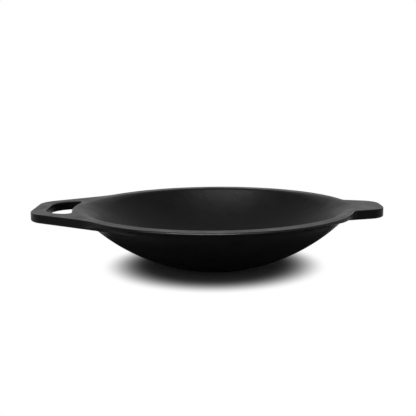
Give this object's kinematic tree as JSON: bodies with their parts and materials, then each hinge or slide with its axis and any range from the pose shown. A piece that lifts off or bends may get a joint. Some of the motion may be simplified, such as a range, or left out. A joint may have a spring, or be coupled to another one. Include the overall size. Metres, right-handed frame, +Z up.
{
  "type": "cast-iron bowl pan",
  "caption": "Shallow round-sided cast-iron bowl pan with a flat rim, a loop handle with a finger hole and a short helper handle, for cooking on a stove.",
  "frame": {"origin": "middle of the flat base, on the bowl's axis", "axes": "+Z up along the bowl's axis, +X towards the helper handle, the loop handle along -X"},
  "size_m": [0.3132, 0.25, 0.0514],
  "materials": {
    "iron": "satin black seasoned cast iron with a fine cast grain"
  },
  "bodies": {
    "root": {"base": "iron", "bowl_wall": "iron", "rim": "iron", "loop_handle": "iron", "helper_handle": "iron"}
  },
  "joints": []
}
